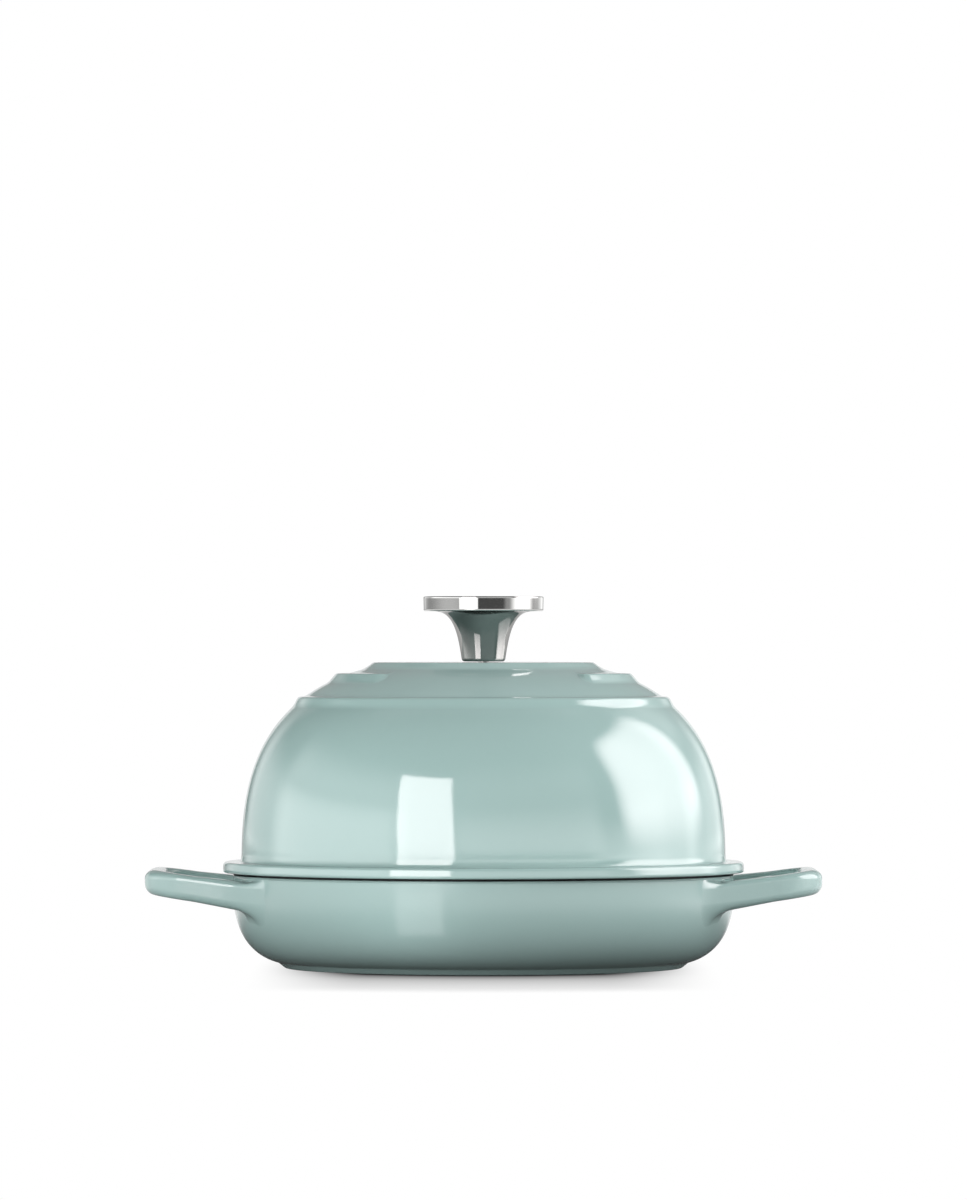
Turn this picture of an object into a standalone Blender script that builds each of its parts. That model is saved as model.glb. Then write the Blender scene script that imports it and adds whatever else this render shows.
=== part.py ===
# Cast iron bread oven: a shallow pan with two cast loop handles, a domed lid and a bolted steel knob.
# Units are metres, +Z is up, and the origin is the middle of the pan's foot on the table.
# The long way over the handles is along X.

import math

import bmesh
import bpy
import numpy as np
from mathutils import Matrix

# General
LARGE_STEPS = 60  # facets round the pan and the lid
SMALL_STEPS = 36  # facets round the knob's pieces
GAP = 0.0003  # running gap between pieces that touch
MERGE = 0.00001  # distance under which turned points are welded
BED = 0.0008  # how far a shape that is joined to another sinks into it
CUT_PAST = 0.0020  # how far a cut runs out past the surface
SMALL_EDGE = 0.0005  # chamfer or rounding of the small edges

# Pan
PAN_HEIGHT = 0.0457  # table to the rim's flat land
RIM_RADIUS = 0.1226  # outside of the pan at its rim
PAN_WALL = 0.0040
PAN_FLOOR = 0.0044  # thickness of the baking floor
RIM_EDGE = 0.0007  # rounding of the rim's two edges
BELLY_WIDTH = 0.0288  # half width of the elliptical turn from wall to floor
BELLY_HEIGHT = 0.0320
FOOT_LIFT = 0.0020  # lowest point of the belly above the table
FOOT_INSET = 0.0257  # foot's edge inside the pan's outer radius
FOOT_SLOPE = 0.0039  # run of the foot's side, from its edge to the belly
FOOT_WIDTH = 0.0169  # flat ring that stands on the table
RECESS_DEPTH = 0.0010  # shallow recess inside the foot

# Ribs on the baking floor
RIB_FIRST_RADIUS = 0.0200
RIB_PITCH = 0.0120
RIB_HEIGHT = 0.0010
RIB_HALF_WIDTH = 0.0016
RIB_MARGIN = 0.0100  # plain floor outside the last rib

# Loop handles
HANDLE_REACH = 0.0428  # how far a handle stands out past the rim
HANDLE_SPAN = 0.0960  # outside width of a loop
HANDLE_WIDTH = 0.0105
HANDLE_DEPTH = 0.0123
HANDLE_EDGE = 0.0036  # rounding of the section's corners
HANDLE_CORNER = 0.0250  # outside radius of a loop's corner
HANDLE_TILT = math.radians(8.2)
HANDLE_DROP = 0.0086  # section centre below the rim's land, where a handle leaves the pan
ARM_GROWTH = 0.12  # share by which an arm's section grows from the corner to the pan
ROOT_FLARE = 0.22  # further growth where the arm runs into the pan
ROOT_LENGTH = 0.0120  # stretch over which the root flares

# Lid
LID_WALL = 0.0036
LID_TOP = 0.0044  # thickness under the knob
PAD_HEIGHT = 0.0006  # three cast pads that the lid stands on
PAD_LENGTH = 0.0120
PAD_WIDTH = 0.0024
PAD_COUNT = 3
PAD_FIRST_ANGLE = math.radians(-86.5)
FLANGE_OVERHANG = 0.0048  # how far the lid's flange stands out past the rim
FLANGE_THICKNESS = 0.0043
FLANGE_EDGE = 0.0013
FLANGE_FILLET = 0.0042
LIP_CLEARANCE = 0.0012  # between the lid's locating lip and the pan's wall
LIP_DEPTH = 0.0040
LIP_WIDTH = 0.0029
DOME_INSET = 0.0043  # dome's foot inside the pan's outer radius
DOME_RISE = 0.1049  # height of the full dome curve above the flange's underside
DOME_POWER = 2.8  # squareness of the dome curve

# Raised steps on the lid
STEP_RISE = 0.0023  # how far each step stands above the dome at its edge
STEP_EDGE = 0.0012  # rounding of a step's shoulder
PLATEAU_RADIUS = 0.0545
PLATEAU_SKIRT = 0.0036
MIDDLE_RING_RADIUS = 0.0724
MIDDLE_RING_SKIRT = 0.0026
MIDDLE_RING_GAP = math.radians(42)  # half angle left bare at the front and the back
OUTER_RING_RADIUS = 0.0909
OUTER_RING_SKIRT = 0.0020

# Knob
KNOB_HEIGHT = 0.0318
KNOB_RADIUS = 0.0295
KNOB_DISC = 0.0072  # height of the disc's rim
KNOB_EDGE = 0.0012
KNOB_SHEET = 0.0013  # thickness of the cap and the stem
KNOB_CRIMP = 0.0030  # width of the cap's edge that is turned in under the stem's plate
STEM_FOOT_RADIUS = 0.0108
STEM_TAPER = 0.10  # growth in radius for each unit of height
STEM_FLARE_POWER = 3.0
STEM_LIP_RADIUS = 0.0076  # opening in the stem's foot
BUSH_FLANGE_THICKNESS = 0.0020
BUSH_HEIGHT = 0.0180
BUSH_BORE_RADIUS = 0.0030
BUSH_BORE_DEPTH = 0.0150

# Screw and washer
SCREW_IN_BUSH = 0.0120
SCREW_HEAD_RADIUS = 0.0062
SCREW_HEAD_HEIGHT = 0.0032
SCREW_HEAD_EDGE = 0.0014
SCREW_SLOT_WIDTH = 0.0014
SCREW_SLOT_DEPTH = 0.0015
SCREW_HOLE_CLEARANCE = 0.0006  # between the screw and the hole in the lid
WASHER_RADIUS = 0.0085
WASHER_THICKNESS = 0.0010

# Places worked out from the sizes
RIM_INNER_RADIUS = RIM_RADIUS - PAN_WALL
BELLY_CENTRE = RIM_RADIUS - BELLY_WIDTH
FOOT_RADIUS = RIM_RADIUS - FOOT_INSET
FLOOR_TOP = RECESS_DEPTH + PAN_FLOOR
BELLY_TOP = FOOT_LIFT + BELLY_HEIGHT
LID_SEAT = PAN_HEIGHT + GAP + PAD_HEIGHT  # underside of the lid's flange
DOME_RADIUS = RIM_RADIUS - DOME_INSET
FLANGE_RADIUS = RIM_RADIUS + FLANGE_OVERHANG
LIP_OUTER = RIM_INNER_RADIUS - LIP_CLEARANCE
LIP_INNER = LIP_OUTER - LIP_WIDTH
SCREW_RADIUS = BUSH_BORE_RADIUS - GAP
SCREW_HOLE_RADIUS = SCREW_RADIUS + SCREW_HOLE_CLEARANCE
DISC_BOTTOM = KNOB_HEIGHT - KNOB_DISC
CRIMP_RADIUS = KNOB_RADIUS - KNOB_CRIMP
STEM_FLARE = CRIMP_RADIUS - GAP - STEM_FOOT_RADIUS - STEM_TAPER * DISC_BOTTOM


def dome_height(radius):
    """Height of the plain dome above the flange's underside at a radius."""
    return DOME_RISE * (1.0 - (radius / DOME_RADIUS) ** DOME_POWER) ** (1.0 / DOME_POWER)


def dome_radius(height):
    """Radius of the plain dome at a height above the flange's underside."""
    return DOME_RADIUS * (1.0 - (height / DOME_RISE) ** DOME_POWER) ** (1.0 / DOME_POWER)


def dome_points(size_r, size_z, start_height, end_height, count):
    """Points along a dome curve of the given half sizes, from one height to another."""
    start, end = (math.asin((height / size_z) ** (DOME_POWER / 2)) for height in (start_height, end_height))
    power = 2 / DOME_POWER
    angles = np.linspace(start, end, count)
    return [(size_r * math.cos(a) ** power, size_z * math.sin(a) ** power) for a in angles]


def step_top(radius):
    """Height of a raised step whose edge is at a radius."""
    return dome_height(radius) + STEP_RISE


PLATEAU_TOP = step_top(PLATEAU_RADIUS)  # above the flange's underside
KNOB_SEAT = LID_SEAT + PLATEAU_TOP + GAP
LID_INSIDE_TOP = LID_SEAT + PLATEAU_TOP - LID_TOP


def arc(centre_r, centre_z, size_r, size_z, start, end, count):
    """Points of an elliptical arc in the profile plane, angles in degrees from +r towards +z."""
    angles = np.radians(np.linspace(start, end, count))
    return [(centre_r + size_r * math.cos(a), centre_z + size_z * math.sin(a)) for a in angles]


def material(name, colour, roughness, metallic):
    made = bpy.data.materials.new(name)
    made.use_nodes = True
    shader = made.node_tree.nodes["Principled BSDF"]
    shader.inputs["Base Color"].default_value = (*colour, 1.0)
    shader.inputs["Roughness"].default_value = roughness
    shader.inputs["Metallic"].default_value = metallic
    made.diffuse_color = (*colour, 1.0)
    return made


def collection(name):
    made = bpy.data.collections.new(name)
    bpy.context.scene.collection.children.link(made)
    return made


def add_object(name, data, group, z=0.0):
    made = bpy.data.objects.new(name, data)
    made.location.z = z
    group.objects.link(made)
    return made


def as_cutter(cutter):
    cutter.hide_render = True
    cutter.display_type = "WIRE"
    return cutter


def turned(name, profile, group, z=0.0, steps=LARGE_STEPS, closed=False):
    """A solid turned about Z from (r, z) points that run down the outer side."""
    mesh = bpy.data.meshes.new(name)
    edges = [(i, i + 1) for i in range(len(profile) - 1)]
    if closed:
        edges.append((len(profile) - 1, 0))
    mesh.from_pydata([(r, 0.0, height) for r, height in profile], edges, [])
    made = add_object(name, mesh, group, z)
    screw = made.modifiers.new("turn", "SCREW")
    screw.axis = "Z"
    screw.angle = math.tau
    screw.steps = screw.render_steps = steps
    screw.use_merge_vertices = True
    screw.merge_threshold = MERGE
    screw.use_smooth_shade = True
    return made


def boolean(target, operation, other):
    made = target.modifiers.new(f"{operation.lower()} {other.name}", "BOOLEAN")
    made.operation = operation
    made.object = other
    made.solver = "EXACT"


def curve_to_mesh(name, curve_object, group):
    """A closed mesh object that takes the place of a curve object."""
    bpy.context.view_layer.update()
    evaluated = curve_object.evaluated_get(bpy.context.evaluated_depsgraph_get())
    mesh = bpy.data.meshes.new_from_object(evaluated)
    mesh.name = name
    welded = bmesh.new()
    welded.from_mesh(mesh)
    bmesh.ops.remove_doubles(welded, verts=welded.verts, dist=MERGE)
    bmesh.ops.recalc_face_normals(welded, faces=welded.faces)
    welded.to_mesh(mesh)
    welded.free()
    made = add_object(name, mesh, group)
    made.matrix_world = curve_object.matrix_world.copy()
    bpy.data.objects.remove(curve_object)
    return made


def pan_outside():
    """The pan's outer side, from the middle of the rim plane down to the foot, as a solid plug."""
    rim_edge = arc(RIM_RADIUS - RIM_EDGE, PAN_HEIGHT - RIM_EDGE, RIM_EDGE, RIM_EDGE, 90, 0, 3)
    foot_angle = -math.degrees(math.acos((FOOT_RADIUS + FOOT_SLOPE - BELLY_CENTRE) / BELLY_WIDTH))
    belly = arc(BELLY_CENTRE, BELLY_TOP, BELLY_WIDTH, BELLY_HEIGHT, 0, foot_angle, 10)
    recess_radius = FOOT_RADIUS - FOOT_WIDTH
    foot = [
        (FOOT_RADIUS + SMALL_EDGE, SMALL_EDGE),
        (FOOT_RADIUS, 0.0),
        (recess_radius, 0.0),
        (recess_radius - RECESS_DEPTH, RECESS_DEPTH),
        (0.0, RECESS_DEPTH),
    ]
    return [(0.0, PAN_HEIGHT)] + rim_edge + belly + foot


def pan_inside():
    """The space inside the pan, with the ribs of the baking floor, as a cutter that rises past the rim."""
    edge_radius = RIM_INNER_RADIUS + RIM_EDGE
    rim_edge = arc(edge_radius, PAN_HEIGHT - RIM_EDGE, RIM_EDGE, RIM_EDGE, 90, 180, 3)
    turn = arc(BELLY_CENTRE, BELLY_TOP, BELLY_WIDTH - PAN_WALL, BELLY_TOP - FLOOR_TOP, 0, -90, 8)
    ribs = []
    for middle in np.arange(RIB_FIRST_RADIUS, BELLY_CENTRE - RIB_MARGIN, RIB_PITCH)[::-1]:
        ribs.append((middle + RIB_HALF_WIDTH, FLOOR_TOP))
        ribs.append((middle, FLOOR_TOP + RIB_HEIGHT))
        ribs.append((middle - RIB_HALF_WIDTH, FLOOR_TOP))
    above = PAN_HEIGHT + CUT_PAST
    return [(0.0, above), (edge_radius, above)] + rim_edge + turn + ribs + [(0.0, FLOOR_TOP)]


def handle_plan():
    """Centreline of the +X loop in plan, as (distance past the rim, y), from one root round to the other."""
    bar = HANDLE_REACH - HANDLE_WIDTH / 2
    side = (HANDLE_SPAN - HANDLE_WIDTH) / 2
    bend = HANDLE_CORNER - HANDLE_WIDTH / 2
    root = math.sqrt(RIM_INNER_RADIUS**2 - (HANDLE_SPAN / 2) ** 2) - RIM_RADIUS
    arm = [(x, -side) for x in np.linspace(root, bar - bend, 11)]
    corner = arc(bar - bend, bend - side, bend, bend, -90, 0, 7)
    half = arm + corner[1:]
    return half + [(x, -y) for x, y in reversed(half)]


def root_flare(x, y):
    """Share by which the section grows on its way into the pan's wall, at a place on the centreline."""
    wall = math.sqrt(RIM_RADIUS**2 - y**2) - RIM_RADIUS
    return ROOT_FLARE * max(1.0 - (x - wall) / ROOT_LENGTH, 0.0) ** 2


def arm_growth(x):
    """Share by which the section has grown at a distance past the rim, on its way in along an arm."""
    return ARM_GROWTH * max(1.0 - x / (HANDLE_REACH - HANDLE_CORNER), 0.0)


def handle_section(group):
    """The handle's rounded rectangular section, as a guide curve."""
    flat_w = HANDLE_WIDTH / 2 - HANDLE_EDGE
    flat_d = HANDLE_DEPTH / 2 - HANDLE_EDGE
    corners = [(flat_w, flat_d, 0), (-flat_w, flat_d, 90), (-flat_w, -flat_d, 180), (flat_w, -flat_d, 270)]
    points = []
    for x, y, start in corners:
        points += arc(x, y, HANDLE_EDGE, HANDLE_EDGE, start, start + 90, 3)
    data = bpy.data.curves.new("handle_section", "CURVE")
    data.dimensions = "2D"
    data.fill_mode = "NONE"
    spline = data.splines.new("POLY")
    spline.points.add(len(points) - 1)
    for point, (x, y) in zip(spline.points, points):
        point.co = (x, y, 0.0, 1.0)
    spline.use_cyclic_u = True
    return add_object("handle_section", data, group)


def handle_loops(group, centre):
    """Both loop handles as one guide object, with roots that run into the pan's wall."""
    section = handle_section(group)
    data = bpy.data.curves.new("handle_path", "CURVE")
    data.dimensions = "3D"
    data.twist_mode = "Z_UP"
    data.bevel_mode = "OBJECT"
    data.bevel_object = section
    data.use_fill_caps = True
    plan = handle_plan()
    spline = data.splines.new("POLY")
    spline.points.add(len(plan) - 1)
    for point, (x, y) in zip(spline.points, plan):
        flare = root_flare(x, y)
        point.co = (x, y, -flare * HANDLE_DEPTH / 2, 1.0)
        point.radius = 1.0 + arm_growth(x) + flare
    path = add_object("handle_path", data, group)
    path.location = (RIM_RADIUS, 0.0, PAN_HEIGHT - HANDLE_DROP)
    path.rotation_euler.y = -HANDLE_TILT
    loops = curve_to_mesh("handle_loops", path, group)
    mirror = loops.modifiers.new("other side", "MIRROR")
    mirror.mirror_object = centre
    mirror.use_axis = (True, False, False)
    mirror.use_mirror_merge = False
    bpy.data.objects.remove(section)
    return as_cutter(loops)


def build_pan(parts, cutters, centre):
    pan = turned("base_pan", pan_outside(), parts)
    boolean(pan, "UNION", handle_loops(cutters, centre))
    inside = as_cutter(turned("pan_inside", pan_inside(), cutters))
    boolean(pan, "DIFFERENCE", inside)
    return pan


def step_edge(radius, skirt):
    """Outer edge of a raised step: its rounded shoulder and the skirt down to the dome."""
    top = step_top(radius)
    shoulder = arc(radius - STEP_EDGE, top - STEP_EDGE, STEP_EDGE, STEP_EDGE, 90, 20, 3)
    return shoulder + [(radius + skirt, dome_height(radius + skirt))]


def lid_outside():
    """The lid's outer side, from the screw hole down to the flange's underside."""
    upper_start = dome_height(PLATEAU_RADIUS + PLATEAU_SKIRT)
    lower_start = dome_height(OUTER_RING_RADIUS + OUTER_RING_SKIRT)
    fillet_top = FLANGE_THICKNESS + FLANGE_FILLET
    profile = [(SCREW_HOLE_RADIUS, PLATEAU_TOP)]
    profile += step_edge(PLATEAU_RADIUS, PLATEAU_SKIRT)
    profile += dome_points(DOME_RADIUS, DOME_RISE, upper_start, step_top(OUTER_RING_RADIUS), 7)[1:]
    profile += step_edge(OUTER_RING_RADIUS, OUTER_RING_SKIRT)
    profile += dome_points(DOME_RADIUS, DOME_RISE, lower_start, fillet_top, 11)[1:-1]
    fillet_r = dome_radius(fillet_top) + FLANGE_FILLET
    profile += arc(fillet_r, fillet_top, FLANGE_FILLET, FLANGE_FILLET, 180, 270, 4)
    edge_r = FLANGE_RADIUS - FLANGE_EDGE
    profile += arc(edge_r, FLANGE_THICKNESS - FLANGE_EDGE, FLANGE_EDGE, FLANGE_EDGE, 90, 0, 3)
    profile += arc(edge_r, FLANGE_EDGE, FLANGE_EDGE, FLANGE_EDGE, 0, -90, 3)
    return profile


def lid_inside():
    """The lid's inner side, from the locating lip up to the screw hole."""
    lip = [
        (LIP_OUTER, 0.0),
        (LIP_OUTER, SMALL_EDGE - LIP_DEPTH),
        (LIP_OUTER - SMALL_EDGE, -LIP_DEPTH),
        (LIP_INNER + SMALL_EDGE, -LIP_DEPTH),
        (LIP_INNER, SMALL_EDGE - LIP_DEPTH),
    ]
    top = PLATEAU_TOP - LID_TOP
    wall = dome_points(LIP_INNER, DOME_RISE - LID_WALL, 0.0, top, 10)
    return lip + wall + [(SCREW_HOLE_RADIUS, top)]


def middle_ring(group):
    """The broken middle ring: two arcs of a raised step, at the sides of the lid, that bed into its wall."""
    top = step_top(MIDDLE_RING_RADIUS)
    inner = dome_radius(top) - BED
    profile = step_edge(MIDDLE_RING_RADIUS, MIDDLE_RING_SKIRT)
    shoulder, foot = profile[-2:]
    profile += [
        (foot[0] + BED, foot[1] + BED * (foot[1] - shoulder[1]) / (foot[0] - shoulder[0])),
        (inner, top - 2 * BED),
        (inner, top),
    ]
    start = MIDDLE_RING_GAP - math.pi / 2
    sweep = math.pi - 2 * MIDDLE_RING_GAP
    ring = bmesh.new()
    ring.faces.new([ring.verts.new((r, 0.0, z)) for r, z in profile])
    bmesh.ops.rotate(ring, verts=ring.verts, matrix=Matrix.Rotation(start, 3, "Z"))
    section = ring.faces[:] + ring.edges[:] + ring.verts[:]
    facets = round(LARGE_STEPS * sweep / math.tau)
    bmesh.ops.spin(ring, geom=section, axis=(0, 0, 1), angle=sweep, steps=facets)
    bmesh.ops.recalc_face_normals(ring, faces=ring.faces)
    mesh = bpy.data.meshes.new("middle_ring")
    ring.to_mesh(mesh)
    ring.free()
    made = add_object("middle_ring", mesh, group, LID_SEAT)
    mirror = made.modifiers.new("other side", "MIRROR")
    mirror.use_axis = (True, False, False)
    mirror.use_mirror_merge = False
    return as_cutter(made)


def lid_pads(group):
    """Three low pads under the flange, centred on the rim's land, that hold the lid just off the rim."""
    middle = (RIM_RADIUS + RIM_INNER_RADIUS) / 2
    pads = bmesh.new()
    for index in range(PAD_COUNT):
        angle = PAD_FIRST_ANGLE + index * math.tau / PAD_COUNT
        turn = Matrix.Rotation(angle, 4, "Z")
        place = Matrix.Translation((middle, 0.0, (BED - PAD_HEIGHT) / 2))
        size = Matrix.Diagonal((PAD_WIDTH, PAD_LENGTH, PAD_HEIGHT + BED, 1.0))
        bmesh.ops.create_cube(pads, size=1.0, matrix=turn @ place @ size)
    mesh = bpy.data.meshes.new("lid_pads")
    pads.to_mesh(mesh)
    pads.free()
    return as_cutter(add_object("lid_pads", mesh, group, LID_SEAT))


def build_lid(parts, cutters):
    lid = turned("dome_lid", lid_outside() + lid_inside(), parts, LID_SEAT, closed=True)
    boolean(lid, "UNION", middle_ring(cutters))
    boolean(lid, "UNION", lid_pads(cutters))
    return lid


def stem_radius(height):
    """Outer radius of the knob's stem at a height above its foot, up to the flare under the disc."""
    share = height / DISC_BOTTOM
    flare = 1.0 - (1.0 - share**STEM_FLARE_POWER) ** (1.0 / STEM_FLARE_POWER)
    return STEM_FOOT_RADIUS + STEM_TAPER * height + STEM_FLARE * flare


def build_stem(parts):
    """The hollow flared stem, with a round plate on top that the cap is crimped over."""
    plate_radius = KNOB_RADIUS - KNOB_SHEET - GAP
    plate_bottom = DISC_BOTTOM + KNOB_SHEET + GAP
    plate_top = plate_bottom + KNOB_SHEET
    flare_inside = DISC_BOTTOM - KNOB_SHEET
    outer = [(plate_radius, plate_top), (plate_radius, plate_bottom), (CRIMP_RADIUS - GAP, plate_bottom)]
    outer += [(stem_radius(h), h) for h in DISC_BOTTOM * np.sin(np.radians(np.linspace(90, 5, 10)))]
    outer += [(STEM_FOOT_RADIUS, SMALL_EDGE), (STEM_FOOT_RADIUS - SMALL_EDGE, 0.0)]
    inner = [(STEM_LIP_RADIUS, 0.0), (STEM_LIP_RADIUS, KNOB_SHEET)]
    inner += [(stem_radius(h) - KNOB_SHEET, h) for h in np.linspace(KNOB_SHEET, flare_inside, 6)]
    inner += [(CRIMP_RADIUS - GAP - KNOB_SHEET, plate_top)]
    return turned("knob_stem", outer + inner, parts, KNOB_SEAT, SMALL_STEPS, closed=True)


def build_cap(parts):
    """The pressed disc on top of the knob, a shallow cup whose edge is turned in under the stem's plate."""
    top_edge = KNOB_EDGE / 2
    inner_radius = KNOB_RADIUS - KNOB_SHEET
    profile = [(0.0, KNOB_HEIGHT)]
    profile += arc(KNOB_RADIUS - top_edge, KNOB_HEIGHT - top_edge, top_edge, top_edge, 90, 0, 3)
    profile += arc(KNOB_RADIUS - KNOB_EDGE, DISC_BOTTOM + KNOB_EDGE, KNOB_EDGE, KNOB_EDGE, 0, -90, 4)
    profile += [
        (CRIMP_RADIUS, DISC_BOTTOM),
        (CRIMP_RADIUS, DISC_BOTTOM + KNOB_SHEET),
        (inner_radius, DISC_BOTTOM + KNOB_SHEET),
        (inner_radius, KNOB_HEIGHT - KNOB_SHEET),
        (0.0, KNOB_HEIGHT - KNOB_SHEET),
    ]
    return turned("knob_cap", profile, parts, KNOB_SEAT, SMALL_STEPS)


def build_bush(parts):
    """The threaded bush inside the stem, whose flange bears down on the lip of the stem's foot."""
    barrel = STEM_LIP_RADIUS - GAP
    flange = STEM_FOOT_RADIUS - KNOB_SHEET - GAP
    flange_bottom = KNOB_SHEET + GAP
    flange_top = flange_bottom + BUSH_FLANGE_THICKNESS
    profile = [
        (0.0, BUSH_HEIGHT),
        (barrel - SMALL_EDGE, BUSH_HEIGHT),
        (barrel, BUSH_HEIGHT - SMALL_EDGE),
        (barrel, flange_top),
        (flange, flange_top),
        (flange, flange_bottom),
        (barrel, flange_bottom),
        (barrel, 0.0),
        (BUSH_BORE_RADIUS, 0.0),
        (BUSH_BORE_RADIUS, BUSH_BORE_DEPTH),
        (0.0, BUSH_BORE_DEPTH + BUSH_BORE_RADIUS / 2),
    ]
    return turned("knob_bush", profile, parts, KNOB_SEAT, SMALL_STEPS)


def build_washer(parts):
    hole = SCREW_HOLE_RADIUS
    bottom = -WASHER_THICKNESS
    profile = [(WASHER_RADIUS, 0.0), (WASHER_RADIUS, bottom), (hole, bottom), (hole, 0.0)]
    return turned("knob_washer", profile, parts, LID_INSIDE_TOP - GAP, SMALL_STEPS, closed=True)


def screw_slot(group, head_top):
    slot = bmesh.new()
    depth = SCREW_SLOT_DEPTH + CUT_PAST
    size = Matrix.Diagonal((2 * (SCREW_HEAD_RADIUS + CUT_PAST), SCREW_SLOT_WIDTH, depth, 1.0))
    place = Matrix.Translation((0.0, 0.0, SCREW_SLOT_DEPTH - SCREW_HEAD_HEIGHT - depth / 2))
    bmesh.ops.create_cube(slot, size=1.0, matrix=place @ size)
    mesh = bpy.data.meshes.new("screw_slot")
    slot.to_mesh(mesh)
    slot.free()
    return as_cutter(add_object("screw_slot", mesh, group, head_top))


def build_screw(parts, cutters):
    """Slotted pan head screw that comes up through the washer and the lid into the bush."""
    head_top = LID_INSIDE_TOP - 2 * GAP - WASHER_THICKNESS
    tip = KNOB_SEAT + SCREW_IN_BUSH - head_top
    edge = SCREW_HEAD_EDGE
    profile = [(0.0, tip), (SCREW_RADIUS - SMALL_EDGE, tip), (SCREW_RADIUS, tip - SMALL_EDGE)]
    profile += [(SCREW_RADIUS, 0.0), (SCREW_HEAD_RADIUS, 0.0)]
    profile += arc(SCREW_HEAD_RADIUS - edge, edge - SCREW_HEAD_HEIGHT, edge, edge, 0, -90, 4)
    profile += [(0.0, -SCREW_HEAD_HEIGHT)]
    screw = turned("knob_screw", profile, parts, head_top, SMALL_STEPS)
    boolean(screw, "DIFFERENCE", screw_slot(cutters, head_top))
    return screw


def main():
    for old in list(bpy.data.objects):
        bpy.data.objects.remove(old)
    parts = collection("bread_oven")
    cutters = collection("cutters")
    centre = add_object("oven_centre", None, parts)
    lid_axis = add_object("lid_lift_axis", None, parts)
    lid_axis.parent = centre

    pan = build_pan(parts, cutters, centre)
    lid = build_lid(parts, cutters)
    cap = build_cap(parts)
    stem = build_stem(parts)
    bush = build_bush(parts)
    washer = build_washer(parts)
    screw = build_screw(parts, cutters)
    finishes = {
        pan: material("pan_enamel", (0.40, 0.56, 0.53), 0.16, 0.0),
        lid: material("lid_enamel", (0.40, 0.56, 0.53), 0.10, 0.0),
        cap: material("brushed_steel", (0.62, 0.62, 0.61), 0.28, 1.0),
        stem: material("polished_steel", (0.66, 0.66, 0.65), 0.10, 1.0),
        bush: material("turned_steel", (0.55, 0.55, 0.54), 0.35, 1.0),
        washer: material("stamped_steel", (0.58, 0.58, 0.57), 0.32, 1.0),
        screw: material("screw_steel", (0.60, 0.60, 0.59), 0.25, 1.0),
    }
    for piece, finish in finishes.items():
        piece.data.materials.append(finish)
        piece.modifiers.new("even shading", "WEIGHTED_NORMAL")
        piece.parent = centre if piece is pan else lid_axis


main()
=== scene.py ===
# Looks of the cast iron bread oven: enamelled castings, steel knob, studio floor, light and camera.
# Units are metres, +Z is up, and the camera looks along +Y with the loop handles left and right.

import math

import bpy
import numpy as np
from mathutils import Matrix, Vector


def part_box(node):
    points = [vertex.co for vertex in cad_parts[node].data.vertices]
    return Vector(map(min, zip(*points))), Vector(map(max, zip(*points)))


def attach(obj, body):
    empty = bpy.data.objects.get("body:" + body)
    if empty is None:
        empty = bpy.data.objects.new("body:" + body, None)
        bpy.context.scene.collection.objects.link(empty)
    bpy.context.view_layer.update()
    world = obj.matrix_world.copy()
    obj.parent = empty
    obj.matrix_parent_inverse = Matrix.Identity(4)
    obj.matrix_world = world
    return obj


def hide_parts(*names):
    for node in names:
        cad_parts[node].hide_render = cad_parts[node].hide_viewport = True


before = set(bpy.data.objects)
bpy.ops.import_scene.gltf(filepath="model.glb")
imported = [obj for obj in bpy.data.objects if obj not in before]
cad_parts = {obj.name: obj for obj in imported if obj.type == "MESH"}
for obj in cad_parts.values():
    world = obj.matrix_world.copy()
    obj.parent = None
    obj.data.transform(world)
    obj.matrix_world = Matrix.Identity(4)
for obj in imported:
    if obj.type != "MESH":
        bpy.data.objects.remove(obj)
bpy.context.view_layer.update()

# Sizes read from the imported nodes
PAN_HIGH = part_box("base_pan")[1]
LID_LOW, LID_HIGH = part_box("dome_lid")
CAP_LOW, CAP_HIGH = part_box("knob_cap")
STEM_LOW, STEM_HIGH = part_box("knob_stem")
WASHER_LOW, WASHER_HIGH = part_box("knob_washer")
SCREW_LOW, SCREW_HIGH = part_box("knob_screw")
RIM_RADIUS = PAN_HIGH[1]
FLANGE_RADIUS = LID_HIGH[0]
PLATEAU_TOP = LID_HIGH[2]

# Pan
PAN_HEIGHT = 0.0457  # table to the rim's flat land
PAN_WALL = 0.0040
FLOOR_TOP = 0.0054  # table to the baking floor
RIM_EDGE = 0.0008  # rounding of the rim's two edges
BELLY_WIDTH = 0.0288  # how far the outside draws in from the rim to the belly's lowest point
BELLY_TOP = 0.0340  # height at which the inside wall starts to turn into the floor
BELLY_CENTRE = RIM_RADIUS - BELLY_WIDTH
WALL_HEIGHT = 0.0437  # rim to the belly's lowest point
WALL_POWER = 3.0  # squareness of the outside curve
FOOT_RADIUS = 0.0969
FOOT_TOP_RADIUS = 0.1019  # where the foot's side meets the belly
FOOT_SIDE = (0.0035, 0.0028)  # run and height of the kink in the foot's side
FOOT_WIDTH = 0.0169  # flat ring that stands on the table
RECESS_DEPTH = 0.0010  # shallow recess inside the foot
RECESS_SLOPE = 0.0010  # run of the recess's side
RIB_FIRST_RADIUS = 0.0200
RIB_PITCH = 0.0120
RIB_COUNT = 6
RIB_HEIGHT = 0.0010
RIB_HALF_WIDTH = 0.0018
PAN_COLUMNS = 480  # facets round the pan

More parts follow.
